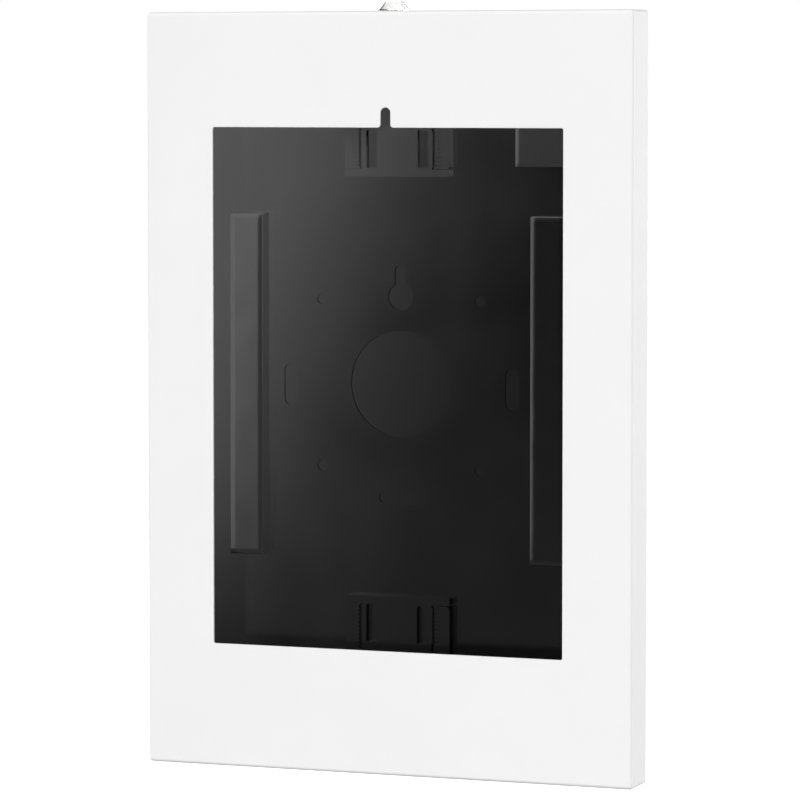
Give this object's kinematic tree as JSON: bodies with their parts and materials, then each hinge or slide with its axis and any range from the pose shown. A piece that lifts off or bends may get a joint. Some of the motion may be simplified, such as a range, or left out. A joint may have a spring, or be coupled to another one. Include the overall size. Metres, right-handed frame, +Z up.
{
  "type": "tablet wall mount",
  "caption": "Lockable wall enclosure for a tablet: white folded steel cover with a window, hinged at its foot on a black back plate with toothed clamps, foam strips and a cable hole",
  "frame": {"origin": "On the wall plane, on the back face of the back plate, midway between the two lower screw holes of the plate's 75 mm pattern", "axes": "+Z up along the wall, +X to the right of someone who faces the mount, +Y into the wall; the cover's face looks along -Y"},
  "size_m": [0.23, 0.021, 0.3431],
  "materials": {
    "white_coat": "satin white powder coat on folded steel sheet",
    "black_coat": "black powder coat on folded steel sheet",
    "nickel": "bright nickel plate",
    "zinc": "zinc plate",
    "black_plastic": "moulded black plastic",
    "black_rubber": "matt black rubber",
    "black_steel": "black oxide",
    "black_foam": "closed-cell black foam"
  },
  "bodies": {
    "plate": {"back_plate": "black_coat", "lock_catch": "zinc", "catch_rivet_left": "zinc", "catch_rivet_right": "zinc", "top_clamp_rail": "black_plastic", "bottom_clamp_rail": "black_plastic", "top_rail_screw_left": "black_steel", "top_rail_screw_right": "black_steel", "bottom_rail_screw_left": "black_steel", "bottom_rail_screw_right": "black_steel", "foam_strip_left": "black_foam", "foam_strip_right": "black_foam", "corner_pad": "black_foam"},
    "cover": {"front_cover": "white_coat", "lock_housing": "nickel", "lock_nut": "zinc", "hinge_stud_left": "zinc", "hinge_stud_right": "zinc"},
    "lock": {"lock_plug": "nickel", "lock_cam": "zinc", "cam_screw": "zinc"},
    "top_clamp": {"top_clamp_slider": "black_plastic", "top_jaw_pad": "black_rubber"},
    "bottom_clamp": {"bottom_clamp_slider": "black_plastic", "bottom_jaw_pad": "black_rubber"}
  },
  "joints": [
    {"name": "cover_hinge", "type": "hinge", "parent": "plate", "child": "cover", "pos_m": [0, -0.0118, -0.1311], "axis": [1, 0, 0], "range_deg": [0, 75]},
    {"name": "lock_turn", "type": "hinge", "parent": "cover", "child": "lock", "pos_m": [0, -0.011, 0.1881], "axis": [0, 0, 1], "range_deg": [0, 90]},
    {"name": "top_clamp_slide", "type": "slide", "parent": "plate", "child": "top_clamp", "axis": [0, 0, -1], "range_m": [0, 0.008]},
    {"name": "bottom_clamp_slide", "type": "slide", "parent": "plate", "child": "bottom_clamp", "axis": [0, 0, 1], "range_m": [0, 0.008]}
  ]
}
